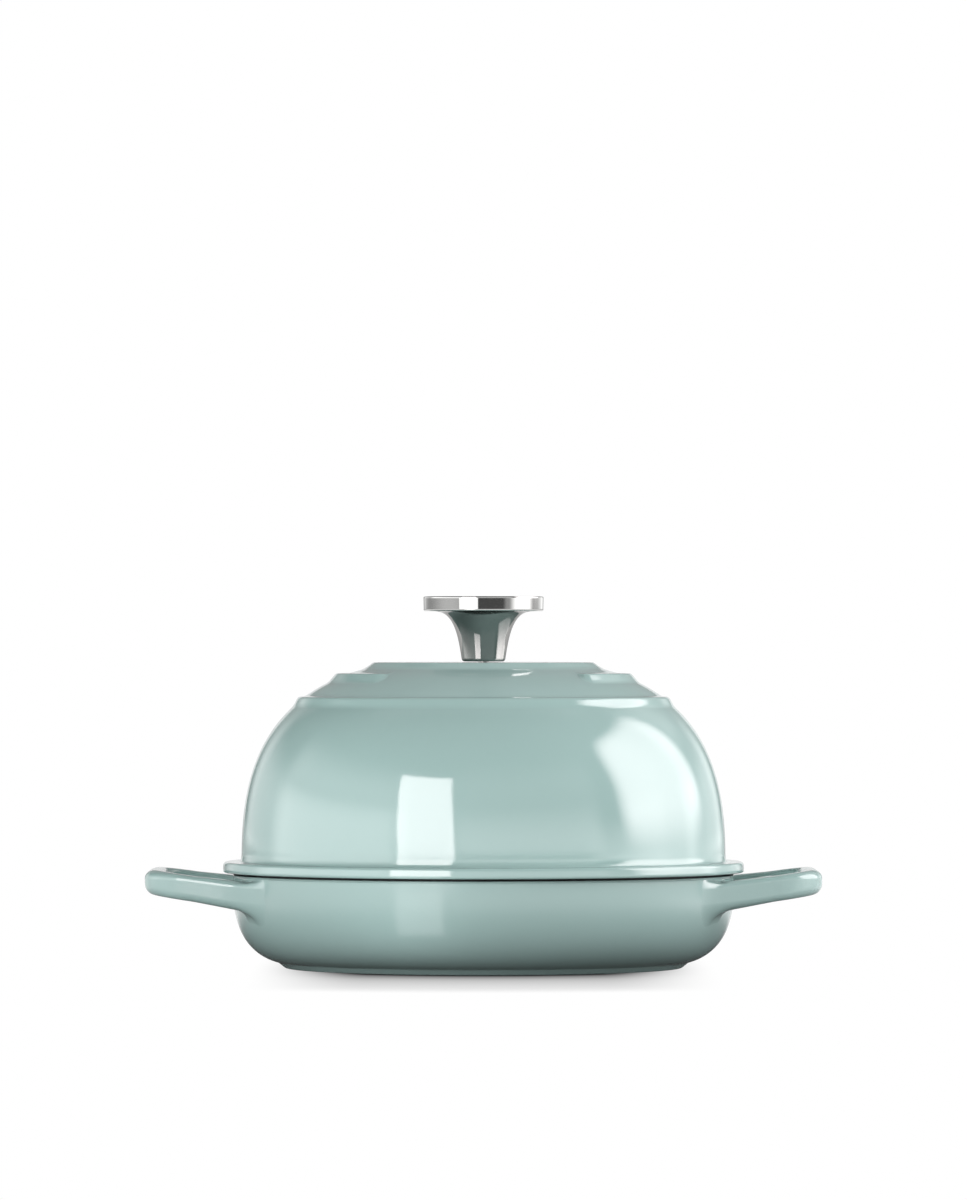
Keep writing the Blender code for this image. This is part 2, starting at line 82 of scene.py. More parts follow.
# Loop handles
HANDLE_SPAN = 0.0960  # outside width of a loop
HANDLE_WIDTH = 0.0105
HANDLE_DEPTH = 0.0123
HANDLE_CORNER = 0.0250  # outside radius of a loop's corner
HANDLE_TILT = math.radians(8.2)
HANDLE_DROP = 0.0086  # section's middle below the rim, where a handle leaves the pan
HANDLE_TIP_RUN = 0.0426  # how far a loop reaches past the rim, measured along its tilt
ARM_START = 0.0105  # where an arm's plain section starts, outside its root
ARM_GROWTH = 0.12  # share by which an arm's section grows towards the pan
ARM_SPLAY = math.radians(9.0)  # how far the arms open towards the pan
ARM_DRAW_IN = 0.0012  # what the splay takes off the loop's width at its corners
# Roundings (out, up) of the section's corners: top outside, top inside, bottom inside, bottom outside
ARM_CORNERS = ((0.0024, 0.0024), (0.0028, 0.0028), (0.0032, 0.0032), (0.0034, 0.0034))
BAR_CORNERS = ((0.0062, 0.0050), (0.0030, 0.0045), (0.0045, 0.0050), (0.0042, 0.0048))
SECTION_MARGIN = 0.0004  # from a corner's end to the row that keeps the side beside it flat
# Reach of the fillet over the pan's wall, on each side of an arm
FILLET_OUTSIDE = 0.0175
FILLET_INSIDE = 0.0065
FILLET_BELOW = 0.0065
FILLET_ABOVE = 0.0010
FILLET_RUN = 1.25  # fillet's length along the arm, as a share of its reach
FILLET_ROWS = 15
ROOT_SINK = 0.00005  # how far the fillet's edge lies inside the pan's skin
ROOT_LIMIT = 0.03  # longest way that is searched for the pan's wall
ROOT_HALVINGS = 40

# Lid
LIP_DEPTH = 0.0040
LIP_OUTER = 0.1174
LIP_INNER = 0.1145
LIP_EDGE = 0.0010  # rounding of the lip's lower edges
LID_SEAT = LID_LOW[2] + LIP_DEPTH  # underside of the flange
LID_WALL = 0.0036
LID_TOP_WALL = 0.0044  # thickness under the knob
SCREW_HOLE = 0.0033  # radius
FLANGE_THICKNESS = 0.0053
FLANGE_TOP_EDGE = 0.0015
FLANGE_LOW_EDGE = 0.0016
FLANGE_FILLET = (0.0016, 0.0044)  # run and rise of the hollow between the flange and the dome
FLANGE_DRAFT = 0.0004  # slope of the flange's edge
UNDERSIDE_ROWS = 6  # rows of the flange's lower edge that the black coat takes in
PAD_HEIGHT = 0.0006  # three cast pads that the lid stands on
PAD_LENGTH = 0.0120
PAD_EASE = 0.0005  # slope at the ends of a pad
PAD_ANGLES = [math.radians(angle) for angle in (-86.5, 33.5, 153.5)]
PAD_RADIUS = (0.1194, 0.1218)
PAD_SIDES = (1e-5, 4e-4)  # where a pad's sloped sides start and end
PAD_CLEAR = 0.0002  # flat land beside the pads
DOME_INSET = 0.0043  # dome's foot inside the pan's outer radius
DOME_RADIUS = RIM_RADIUS - DOME_INSET
DOME_RISE = 0.1049  # height of the full dome curve above the flange's underside
DOME_POWER = 2.8  # squareness of the dome curve
STEP_RISE = 0.0024  # how far the plateau under the knob stands above the dome at its edge
RING_RISE = 0.0032  # the same for the two rings
STEP_EDGE = 0.0020  # rounding of a step's shoulder
STEP_SOFTNESS = 0.0009  # ease where a step's skirt meets the dome
PLATEAU_RADIUS = 0.0552
PLATEAU_SLOPE = 0.72
MIDDLE_RING_RADIUS = 0.0732
MIDDLE_RING_SLOPE = 1.20
MIDDLE_RING_GAP = math.radians(42.5)  # half angle of its gaps at the front and the back
MIDDLE_RING_END = 0.0030  # rounding of the ring's ends
OUTER_RING_RADIUS = 0.0914
OUTER_RING_SLOPE = 1.90
STEPPED_RADIUS = 0.0992  # the steps end inside it, and the plain dome goes on from there

# Spacing of the lid's rows and columns
PLAIN_ROW = 0.0014
EDGE_ROW = 0.00022
RING_END_ROW = 0.00045
EDGE_REACH = (0.0024, 0.0042)  # inside and outside a step's edge
RING_END_REACH = (0.0090, 0.0050)
PLAIN_COLUMN = 0.9  # degrees, as the next three
CLOSE_COLUMN = 0.28
CLOSE_REACH = 6.5  # on each side of a ring's end or a pad's middle
LAST_COLUMN = 0.6  # narrowest last step round to the first column

# Knob and its fixings
SHEET = 0.0013  # thickness of the disc and of the stem
DISC_CRIMP = 0.0030  # width of the disc's edge that is turned in under the stem's plate
DISC_DRAFT = 0.0002  # slope of the disc's side
DISC_COLUMNS = 256
STEM_FOOT = 0.0105  # radius
STEM_FOOT_EDGE = 0.0014
STEM_LIP = 0.0076  # radius of the opening in the stem's foot
STEM_TAPER = 0.15  # growth in radius for each unit of height
STEM_INSET = 0.0033  # flare's end inside the disc's edge
STEM_FLARE_POWER = 3.2
STEM_COLUMNS = 224
WASHER_COLUMNS = 128
SHANK_RADIUS = 0.0027
SCREW_HEAD_HEIGHT = 0.0032
SCREW_HEAD_EDGE = 0.0018
SCREW_COLUMNS = 96
SLOT_HALF_WIDTH = 0.0007
SLOT_DEPTH = 0.0015
CUT_PAST = 0.001  # how far the slot's cutter runs out past the head
SHARP_EDGE = math.radians(40)

# Enamel
MINT = (0.316, 0.462, 0.441, 1.0)
DEEP_MINT = (0.282, 0.425, 0.403, 1.0)
GLAZE_IOR = 1.7

# Camera, found from the photograph's level horizon and long lens
CAMERA_DISTANCE = 4.20
CAMERA_HEIGHT = 0.1650
AIM_HEIGHT = 0.1797
FRAME_HEIGHT = 0.5868  # what the picture spans from top to bottom at the oven's axis
SENSOR_HEIGHT = 24.0  # millimetres


# Shader helpers


class Tree:
    """A node tree with short calls that add and link its nodes."""

    def __init__(self, tree):
        self.tree = tree

    def add(self, kind, values=None, **settings):
        node = self.tree.nodes.new(kind)
        for name, value in settings.items():
            setattr(node, name, value)
        for socket, value in (values or {}).items():
            target = node.inputs[socket]
            if isinstance(value, bpy.types.NodeSocket):
                self.tree.links.new(value, target)
            else:
                target.default_value = value
        return node

    def math(self, operation, first, second=0.0, third=0.0):
        return self.add("ShaderNodeMath", {0: first, 1: second, 2: third}, operation=operation).outputs[0]

    def vector_math(self, operation, values, output=0):
        return self.add("ShaderNodeVectorMath", values, operation=operation).outputs[output]

    def between(self, value, low, high, out_low=0.0, out_high=1.0):
        """A value eased from out_low at low to out_high at high."""
        values = {
            "Value": value,
            "From Min": low,
            "From Max": high,
            "To Min": out_low,
            "To Max": out_high,
        }
        return self.add("ShaderNodeMapRange", values, interpolation_type="SMOOTHSTEP").outputs["Result"]

    def noise(self, place, scale, detail=2.0, roughness=0.5):
        values = {"Vector": place, "Scale": scale, "Detail": detail, "Roughness": roughness}
        return self.add("ShaderNodeTexNoise", values).outputs["Fac"]

    def mix(self, share, first, second):
        """A colour that goes from first to second as share goes from 0 to 1."""
        return self.add("ShaderNodeMix", {0: share, 6: first, 7: second}, data_type="RGBA").outputs[2]

    def split(self, vector):
        return self.add("ShaderNodeSeparateXYZ", {0: vector}).outputs

    def object_place(self):
        return self.add("ShaderNodeTexCoord").outputs["Object"]


def group(name, inputs, outputs):
    """Makes a shader node group. Gives its tree, the values put into it and the sockets it puts out."""
    made = bpy.data.node_groups.new(name, "ShaderNodeTree")
    for label, kind, value in inputs:
        socket = made.interface.new_socket(label, in_out="INPUT", socket_type=kind)
        socket.default_value = value
    for label, kind in outputs:
        made.interface.new_socket(label, in_out="OUTPUT", socket_type=kind)
    tree = Tree(made)
    return tree, tree.add("NodeGroupInput").outputs, tree.add("NodeGroupOutput").inputs


FLOAT = "NodeSocketFloat"
COLOUR = "NodeSocketColor"


# Glaze: scales of its noises, in cycles to the metre
SLOW_TONE_SCALE = 14.0
MOTTLE_SCALE = 160.0
WAVER_SCALE = 42.0
GLOSS_SCALE = 75.0
SLOW_TONE_SHARE = 0.12
MOTTLE_SHARE = 0.07
FINE_PEEL = 2.7  # how many times finer the second peel is
FINE_PEEL_SHARE = 0.35


def glaze_group():
    """Fired glaze: slow shifts of tone, a fine mottle, and an orange peel that wavers what it mirrors."""
    inputs = [
        ("Tone", COLOUR, (0.4, 0.56, 0.53, 1.0)),
        ("Deep Tone", COLOUR, (0.3, 0.46, 0.43, 1.0)),
        ("Peel Size", FLOAT, 0.0016),
        ("Peel Height", FLOAT, 0.000003),
        ("Waver Height", FLOAT, 0.00002),
        ("Gloss", FLOAT, 0.1),
        ("Gloss Spread", FLOAT, 0.03),
    ]
    tree, given, out = group("glaze", inputs, [("Color", COLOUR), ("Roughness", FLOAT), ("Height", FLOAT)])
    link = tree.tree.links.new
    place = tree.object_place()
    slow = tree.between(tree.noise(place, SLOW_TONE_SCALE, 3.0), 0.35, 0.70, 0.0, SLOW_TONE_SHARE)
    mottle = tree.between(tree.noise(place, MOTTLE_SCALE, 4.0, 0.6), 0.40, 0.75, 0.0, MOTTLE_SHARE)
    link(tree.mix(tree.math("ADD", slow, mottle), given["Tone"], given["Deep Tone"]), out["Color"])
    peel_scale = tree.math("DIVIDE", 1.0, given["Peel Size"])
    coarse = tree.noise(place, peel_scale, 1.5, 0.45)
    fine = tree.noise(place, tree.math("MULTIPLY", peel_scale, FINE_PEEL), 1.0)
    peel = tree.math("MULTIPLY_ADD", fine, FINE_PEEL_SHARE, coarse)
    waver = tree.noise(place, WAVER_SCALE, 1.0)
    height = tree.math("MULTIPLY", peel, given["Peel Height"])
    link(tree.math("MULTIPLY_ADD", waver, given["Waver Height"], height), out["Height"])
    gloss = tree.noise(place, GLOSS_SCALE, 3.0)
    link(tree.math("MULTIPLY_ADD", gloss, given["Gloss Spread"], given["Gloss"]), out["Roughness"])
    return tree.tree


# Lathe marks
RING_SWEEP = 0.6  # how far the marks wander round the axis
BROAD_RINGS = 0.13  # scale of the broad bands of gloss, against the single rings


def lathe_group():
    """Lathe marks: fine rings about the Z axis, as height and as a spread of roughness."""
    inputs = [
        ("Ring Size", FLOAT, 0.00012),
        ("Ring Height", FLOAT, 0.0000004),
        ("Gloss", FLOAT, 0.15),
        ("Gloss Spread", FLOAT, 0.08),
    ]
    tree, given, out = group("lathe_marks", inputs, [("Roughness", FLOAT), ("Height", FLOAT)])
    link = tree.tree.links.new
    x, y, z = tree.split(tree.object_place())
    radius = tree.math("SQRT", tree.math("ADD", tree.math("POWER", x, 2.0), tree.math("POWER", y, 2.0)))
    scale = tree.math("DIVIDE", 1.0, given["Ring Size"])
    across = tree.math("MULTIPLY", radius, scale)
    along = tree.math("MULTIPLY", z, scale)
    sweep = tree.math("MULTIPLY", tree.math("SINE", tree.math("ARCTAN2", y, x)), RING_SWEEP)
    rings = tree.add("ShaderNodeCombineXYZ", {0: across, 1: sweep, 2: along}).outputs[0]
    marks = tree.noise(rings, 1.0, 2.0, 0.6)
    link(tree.math("MULTIPLY", marks, given["Ring Height"]), out["Height"])
    broad = tree.noise(rings, BROAD_RINGS, 2.0)
    link(tree.math("MULTIPLY_ADD", broad, given["Gloss Spread"], given["Gloss"]), out["Roughness"])
    return tree.tree


# Grit
CLOUD_SCALE = 30.0  # cycles to the metre
CLOUD_SHARE = 0.25
SPECK_SHARE = 0.6
GRIT_ROUGHNESS = 0.12


def grit_group():
    """Fine grit of a matt fired coat: specks of tone, roughness and height."""
    inputs = [
        ("Tone", COLOUR, (0.02, 0.02, 0.02, 1.0)),
        ("Speck Tone", COLOUR, (0.06, 0.06, 0.06, 1.0)),
        ("Grit Size", FLOAT, 0.0004),
        ("Grit Height", FLOAT, 0.00001),
        ("Gloss", FLOAT, 0.5),
    ]
    outputs = [("Color", COLOUR), ("Roughness", FLOAT), ("Height", FLOAT)]
    tree, given, out = group("fired_grit", inputs, outputs)
    link = tree.tree.links.new
    place = tree.object_place()
    scale = tree.math("DIVIDE", 1.0, given["Grit Size"])
    grit = tree.noise(place, scale, 2.0, 0.6)
    cloud = tree.noise(place, CLOUD_SCALE, 3.0)
    specks = tree.math("MULTIPLY", tree.between(grit, 0.58, 0.75), SPECK_SHARE)
    share = tree.math("MULTIPLY_ADD", tree.between(cloud, 0.4, 0.7), CLOUD_SHARE, specks)
    link(tree.mix(share, given["Tone"], given["Speck Tone"]), out["Color"])
    link(tree.math("MULTIPLY_ADD", grit, GRIT_ROUGHNESS, given["Gloss"]), out["Roughness"])
    link(tree.math("MULTIPLY", grit, given["Grit Height"]), out["Height"])
    return tree.tree


GLAZE = glaze_group()
LATHE = lathe_group()
GRIT = grit_group()


def finish_from(name, effect, values, shader_values):
    """A Principled material whose roughness, bump and varying colour come from one effect group."""
    made = bpy.data.materials.new(name)
    made.use_nodes = True
    tree = Tree(made.node_tree)
    shader = made.node_tree.nodes["Principled BSDF"]
    node = tree.add("ShaderNodeGroup", node_tree=effect)
    for socket, value in values.items():
        node.inputs[socket].default_value = value
    for socket, value in shader_values.items():
        shader.inputs[socket].default_value = value
    link = made.node_tree.links.new
    if "Color" in node.outputs:
        link(node.outputs["Color"], shader.inputs["Base Color"])
    link(node.outputs["Roughness"], shader.inputs["Roughness"])
    bump = tree.add("ShaderNodeBump", {"Height": node.outputs["Height"], "Strength": 1.0, "Distance": 1.0})
    link(bump.outputs[0], shader.inputs["Normal"])
    return made


def mint_glaze(name, peel_size, peel_height, gloss, gloss_spread):
    """The pale green glaze of both castings. The pan's peel is finer and deeper than the lid's."""
    values = {
        "Tone": MINT,
        "Deep Tone": DEEP_MINT,
        "Peel Size": peel_size,
        "Peel Height": peel_height,
        "Waver Height": 0.000030,
        "Gloss": gloss,
        "Gloss Spread": gloss_spread,
    }
    return finish_from(name, GLAZE, values, {"IOR": GLAZE_IOR})


def black_coat():
    """The matt black enamel inside the pan and the lid."""
    values = {
        "Tone": (0.016, 0.016, 0.017, 1.0),
        "Speck Tone": (0.045, 0.045, 0.046, 1.0),
        "Grit Size": 0.00045,
        "Grit Height": 0.000012,
        "Gloss": 0.42,
    }
    return finish_from("black_coat", GRIT, values, {"IOR": 1.5})


def steel(name, colour, gloss, gloss_spread, ring_height, edge=1.0):
    """Turned steel. edge dims what it mirrors at a glancing angle."""
    values = {
        "Ring Size": 0.00015,
        "Ring Height": ring_height,
        "Gloss": gloss,
        "Gloss Spread": gloss_spread,
    }
    shader_values = {
        "Base Color": (*colour, 1.0),
        "Metallic": 1.0,
        "Specular Tint": (edge, edge, edge, 1.0),
    }
    return finish_from(name, LATHE, values, shader_values)


# Mesh helpers


def bend(start, corner, end, count):
    """Points of a curve from start to end that leaves and arrives along the lines to a corner."""
    shares = np.linspace(0.0, 1.0, count)
    return [start.lerp(corner, share).lerp(corner.lerp(end, share), share) for share in shares]


ROUNDING_LIMIT = 0.48  # largest share of a side that one rounding may take up
ROUNDING_LEAD = 0.12  # row beside a rounding that keeps the side flat, as a share of the rounding


def rounded(corners, turns=7):
    """A profile through corners (r, z, rounding), each corner eased by a curve of that rounding."""
    places = [Vector(corner[:2]) for corner in corners]
    points = []
    for index, (place, corner) in enumerate(zip(places, corners)):
        rounding = corner[2] if len(corner) > 2 else 0.0
        if rounding == 0.0:
            points.append(place)
            continue
        before = places[index - 1] - place
        after = places[(index + 1) % len(places)] - place
        reach = min(rounding, ROUNDING_LIMIT * before.length, ROUNDING_LIMIT * after.length)
        start = place + before.normalized() * reach
        end = place + after.normalized() * reach
        points.append(start + before.normalized() * ROUNDING_LEAD * reach)
        points += bend(start, place, end, turns)
        points.append(end + after.normalized() * ROUNDING_LEAD * reach)
    return [(point[0], point[1]) for point in points]


def arc(centre_r, centre_z, size_r, size_z, start, end, count):
    """Points (r, z) along a part of an ellipse, from a start angle to an end angle in degrees."""
    angles = np.radians(np.linspace(start, end, count))
    return [(centre_r + size_r * math.cos(a), centre_z + size_z * math.sin(a)) for a in angles]


def ring_mesh(name, rings, closed=False):
    """A mesh from rings of points. A ring is a (columns, 3) array, or a (1, 3) array on the axis."""
    starts = np.cumsum([0] + [len(ring) for ring in rings])
    pairs = [(i, i + 1) for i in range(len(rings) - 1)]
    if closed:
        pairs.append((len(rings) - 1, 0))
    columns = max(len(ring) for ring in rings)
    near = np.arange(columns)
    far = (near + 1) % columns
    faces = []
    for first, second in pairs:
        a, b = starts[first], starts[second]
        if len(rings[first]) == 1:
            strip = np.stack([np.full(columns, a), b + near, b + far], 1)
        elif len(rings[second]) == 1:
            strip = np.stack([a + near, np.full(columns, b), a + far], 1)
        else:
            strip = np.stack([a + near, b + near, b + far, a + far], 1)
        faces += strip.tolist()
    mesh = bpy.data.meshes.new(name)
    mesh.from_pydata(np.concatenate(rings).tolist(), [], faces)
    mesh.shade_smooth()
    return mesh


def turned_rings(profile, angles, lift=None):
    """Rings about the Z axis through (r, z) points. lift(r, z, angles) may raise each ring's points."""
    rings = []
    cos, sin = np.cos(angles), np.sin(angles)
    for radius, height in profile:
        if radius < 1e-6:
            rings.append(np.array([(0.0, 0.0, height)]))
            continue
        heights = np.full(len(angles), height)
        if lift is not None:
            heights = heights + lift(radius, height, angles)
        rings.append(np.stack([radius * cos, radius * sin, heights], 1))
    return rings


def even_angles(count):
    return np.arange(count) * math.tau / count


def piece(mesh, body, materials, stands_for):
    """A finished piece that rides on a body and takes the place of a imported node."""
    made = bpy.data.objects.new(mesh.name, mesh)
    bpy.context.scene.collection.objects.link(made)
    for material in materials:
        mesh.materials.append(material)
    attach(made, body)
    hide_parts(stands_for)
    return made


def paint_strips(mesh, first_face, last_face, index):
    """Gives a run of faces another material of the mesh."""
    indices = np.zeros(len(mesh.polygons), dtype=np.int32)
    mesh.polygons.foreach_get("material_index", indices)
    indices[first_face:last_face] = index
    mesh.polygons.foreach_set("material_index", indices)


# Pan


def pan_outer_radius(height):
    """Outer radius of the pan's wall and belly at a height, as an array."""
    share = np.clip((PAN_HEIGHT - height) / WALL_HEIGHT, 0.0, 1.0)
    return BELLY_CENTRE + BELLY_WIDTH * np.sqrt(1.0 - share**WALL_POWER)


def pan_profile():
    """The pan's outline from the floor's middle over the rim to the foot, as its black and its green part."""
    inside = [(0.0, FLOOR_TOP)]
    for index in range(RIB_COUNT):
        middle = RIB_FIRST_RADIUS + index * RIB_PITCH
        for offset in np.linspace(-1.0, 1.0, 9):
            rise = 0.5 + 0.5 * math.cos(math.pi * offset)
            inside.append((middle + offset * RIB_HALF_WIDTH, FLOOR_TOP + RIB_HEIGHT * rise))
    inside += arc(BELLY_CENTRE, BELLY_TOP, BELLY_WIDTH - PAN_WALL, BELLY_TOP - FLOOR_TOP, -90, 0, 26)
    inner = RIM_RADIUS - PAN_WALL
    rim = arc(inner + RIM_EDGE, PAN_HEIGHT - RIM_EDGE, RIM_EDGE, RIM_EDGE, 180, 90, 7)
    rim += arc(RIM_RADIUS - RIM_EDGE, PAN_HEIGHT - RIM_EDGE, RIM_EDGE, RIM_EDGE, 90, 0, 7)
    foot_share = (1.0 - ((FOOT_TOP_RADIUS - BELLY_CENTRE) / BELLY_WIDTH) ** 2) ** (1.0 / WALL_POWER)
    heights = PAN_HEIGHT - np.linspace(RIM_EDGE, foot_share * WALL_HEIGHT, 64)
    outside = list(zip(pan_outer_radius(heights).tolist(), heights.tolist()))
    recess = FOOT_RADIUS - FOOT_WIDTH
    foot = rounded([
        outside[-1],
        (FOOT_RADIUS + FOOT_SIDE[0], FOOT_SIDE[1], 0.0012),
        (FOOT_RADIUS, 0.0, 0.0008),
        (recess, 0.0, 0.0005),
        (recess - RECESS_SLOPE, RECESS_DEPTH, 0.0006),
        (0.0, RECESS_DEPTH),
    ])
    return inside + rim[:-4], rim[-4:] + outside + foot[1:]


def build_pan(enamel, black):
    black_part, green_part = pan_profile()
    profile = (black_part + green_part)[::-1]
    mesh = ring_mesh("pan_casting", turned_rings(profile, even_angles(PAN_COLUMNS)))
    mesh.flip_normals()
    green_faces = PAN_COLUMNS * len(green_part)
    paint_strips(mesh, green_faces, len(mesh.polygons), 1)
    piece(mesh, "base", [enamel, black], "base_pan")


def handle_section(bar_share):
    """The handle's section as rows (out, up, normal_out, normal_up), out being away from the loop's middle.

    Its four rounded corners ease from those of the arms, at 0, to those of the bar, at 1. A row just past
    each corner's end keeps the sides between the corners flat.
    """
    rows = []
    quarters = ((1, 1, 0), (-1, 1, 90), (-1, -1, 180), (1, -1, 270))
    for (out, up, start), arm, bar in zip(quarters, ARM_CORNERS, BAR_CORNERS):
        wide, high = (a + (b - a) * bar_share for a, b in zip(arm, bar))
        middle_out, middle_up = out * (HANDLE_WIDTH / 2 - wide), up * (HANDLE_DEPTH / 2 - high)
        turns = [(start, -SECTION_MARGIN)] + [(turn, 0.0) for turn in np.linspace(start, start + 90, 9)]
        for degrees, past in turns + [(start + 90, SECTION_MARGIN)]:
            cos, sin = math.cos(math.radians(degrees)), math.sin(math.radians(degrees))
            place = (middle_out + wide * cos - past * sin, middle_up + high * sin + past * cos)
            rows.append((*place, cos, sin))
    return np.array(rows)


def handle_half():
    """Half of the +X loop's centreline in plan, as (run past the rim, y, heading), from a root to the bar."""
    bar = HANDLE_TIP_RUN - HANDLE_WIDTH / 2
    side = (HANDLE_SPAN - HANDLE_WIDTH) / 2 - ARM_DRAW_IN
    turn = HANDLE_CORNER - HANDLE_WIDTH / 2
    end = bar - turn + turn * math.sin(ARM_SPLAY)
    end_y = turn - side - turn * math.cos(ARM_SPLAY)
    rows = []
    for run in np.linspace(ARM_START, end, 6):
        rows.append((run, end_y - (end - run) * math.tan(ARM_SPLAY), ARM_SPLAY))
    for degrees in np.linspace(math.degrees(ARM_SPLAY), 90, 17)[1:]:
        heading = math.radians(degrees)
        run = bar - turn + turn * math.sin(heading)
        rows.append((run, turn - side - turn * math.cos(heading), heading))
    rows += [(bar, y, math.pi / 2) for y in np.linspace(turn - side, 0.0, 7)[1:]]
    return rows


def tilted(run, y, up):
    """World place of a point of the +X handle, from its run past the rim, its y and its height."""
    x = RIM_RADIUS + run * math.cos(HANDLE_TILT)
    z = PAN_HEIGHT - HANDLE_DROP + run * math.sin(HANDLE_TILT) + up
    return np.stack([x, y + np.zeros_like(x), z], -1)


def section_ring(run, y, heading):
    """World ring of the handle's section at a place on its centreline."""
    growth = 1.0 + ARM_GROWTH * max(1.0 - run / (HANDLE_TIP_RUN - HANDLE_CORNER), 0.0)
    section = handle_section(math.sin(heading) ** 2)
    out_run, out_y = math.sin(heading), -math.cos(heading)
    out = section[:, 0] * growth
    return tilted(run + out * out_run, y + out * out_y, section[:, 1] * growth)


def root_rings():
    """Rings that carry the arm's section into the pan's wall with a fillet that spreads over the wall."""
    section = handle_section(0.0)
    run, y, heading = handle_half()[0]
    start = section_ring(run, y, heading)
    step = section_ring(run - 0.001, y - 0.001 * math.tan(heading), heading) - start
    along = step / np.linalg.norm(step, axis=1)[:, None]
    low, high = np.zeros(len(section)), np.full(len(section), ROOT_LIMIT)
    for _ in range(ROOT_HALVINGS):
        middle = (low + high) / 2
        place = start + along * middle[:, None]
        outside = np.hypot(place[:, 0], place[:, 1]) > pan_outer_radius(place[:, 2])
        low, high = np.where(outside, middle, low), np.where(outside, high, middle)
    hit = start + along * low[:, None]
    out, up = section[:, 2], section[:, 3]
    side_reach = np.where(out > 0, FILLET_OUTSIDE, FILLET_INSIDE)
    up_reach = np.where(up > 0, FILLET_ABOVE, FILLET_BELOW)
    reach = side_reach * out**2 + up_reach * up**2
    spread = tilted(np.zeros(len(section)), -out, up) - tilted(np.zeros(1), np.zeros(1), np.zeros(1))
    spread -= along * np.sum(spread * along, axis=1)[:, None]
    landing = hit + spread * reach[:, None]
    landing[:, 2] = np.minimum(landing[:, 2], PAN_HEIGHT - RIM_EDGE)
    angle = np.arctan2(landing[:, 1], landing[:, 0])
    radius = pan_outer_radius(landing[:, 2]) - ROOT_SINK
    landing = np.stack([radius * np.cos(angle), radius * np.sin(angle), landing[:, 2]], 1)
    slope = (pan_outer_radius(landing[:, 2] + 1e-4) - pan_outer_radius(landing[:, 2] - 1e-4)) / 2e-4
    normal = np.stack([np.cos(angle), np.sin(angle), -slope], 1)
    shift = np.sum((landing - hit) * normal, axis=1) / np.sum(along * normal, axis=1)
    corner = hit + along * shift[:, None]
    leave = hit - along * np.minimum(FILLET_RUN * reach, low)[:, None]
    rings = []
    for share in np.linspace(0.0, 1.0, FILLET_ROWS):
        first = landing + (corner - landing) * share
        second = corner + (leave - corner) * share
        rings.append(first + (second - first) * share)
    return rings


def build_handle(side, name, enamel):
    """The loop handle on one side, 1 for +X and -1 for -X, with its open ends inside the pan's wall."""
    half = root_rings() + [section_ring(*place) for place in handle_half()]
    mirrored = [ring * np.array([1.0, -1.0, 1.0]) for ring in half[:-1]][::-1]
    rings = [ring * np.array([side, 1.0, 1.0]) for ring in half + mirrored]
    mesh = ring_mesh(name, rings)
    if side < 0:
        mesh.flip_normals()
    piece(mesh, "base", [enamel], "base_pan")


# Lid


def dome_height(radius):
    """Height of the plain dome above the flange's underside at a radius."""
    return DOME_RISE * (1.0 - (radius / DOME_RADIUS) ** DOME_POWER) ** (1.0 / DOME_POWER)


def dome_run(size_r, size_z, start_height, end_height, count):
    """Points along a dome curve of the given half sizes, from one height to another."""
    start, end = (math.asin((height / size_z) ** (DOME_POWER / 2)) for height in (start_height, end_height))
    power = 2 / DOME_POWER
    angles = np.linspace(start, end, count)
    return [(size_r * math.cos(a) ** power, size_z * math.sin(a) ** power) for a in angles]


def step_height(inside, top, slope):
    """Height of a raised step at a distance inside its edge: flat, then a rounded shoulder, then a skirt."""
    flat = np.maximum(STEP_EDGE - inside, 0.0)
    angle = math.atan(slope)
    turn = STEP_EDGE * math.sin(angle)
    round_part = STEP_EDGE - np.sqrt(np.maximum(STEP_EDGE**2 - np.minimum(flat, turn) ** 2, 0.0))
    return top - round_part - np.maximum(flat - turn, 0.0) * slope


def smooth_max(first, second, softness):
    """The larger of two heights, with a soft hollow where they cross."""
    overlap = np.maximum(softness - np.abs(first - second), 0.0) / softness
    return np.maximum(first, second) + overlap**2 * softness / 4


def lid_height(radius, angles):
    """Height of the lid's stepped top above the flange's underside, at one radius and many angles."""
    plateau = dome_height(PLATEAU_RADIUS) + STEP_RISE
    height = np.full(len(angles), min(dome_height(radius), plateau - STEP_SOFTNESS))
    steps = ((PLATEAU_RADIUS, PLATEAU_SLOPE, STEP_RISE), (OUTER_RING_RADIUS, OUTER_RING_SLOPE, RING_RISE))
    for edge, slope, rise in steps:
        top = dome_height(edge) + rise
        height = smooth_max(height, step_height(edge - radius, top, slope), STEP_SOFTNESS)
    from_side = np.abs((angles + math.pi / 2) % math.pi - math.pi / 2)
    to_edge = MIDDLE_RING_RADIUS - radius
    to_end = (math.pi / 2 - MIDDLE_RING_GAP - from_side) * radius
    round_edge = np.maximum(MIDDLE_RING_END - to_edge, 0.0)
    round_end = np.maximum(MIDDLE_RING_END - to_end, 0.0)
    inside = MIDDLE_RING_END - np.hypot(round_edge, round_end)
    inside = np.where((round_edge == 0.0) & (round_end == 0.0), np.minimum(to_edge, to_end), inside)
    top = dome_height(MIDDLE_RING_RADIUS) + RING_RISE
    return smooth_max(height, step_height(inside, top, MIDDLE_RING_SLOPE), STEP_SOFTNESS)


def top_radii():
    """Radii of the rings over the stepped top, close together where a step's edge runs."""
    radii = [SCREW_HOLE]
    edges = (PLATEAU_RADIUS, MIDDLE_RING_RADIUS, OUTER_RING_RADIUS)
    while radii[-1] < STEPPED_RADIUS:
        here = radii[-1]
        at_edge = any(edge - EDGE_REACH[0] < here < edge + EDGE_REACH[1] for edge in edges)
        at_ring = MIDDLE_RING_RADIUS - RING_END_REACH[0] < here < MIDDLE_RING_RADIUS + RING_END_REACH[1]
        radii.append(here + (EDGE_ROW if at_edge else RING_END_ROW if at_ring else PLAIN_ROW))
    return radii


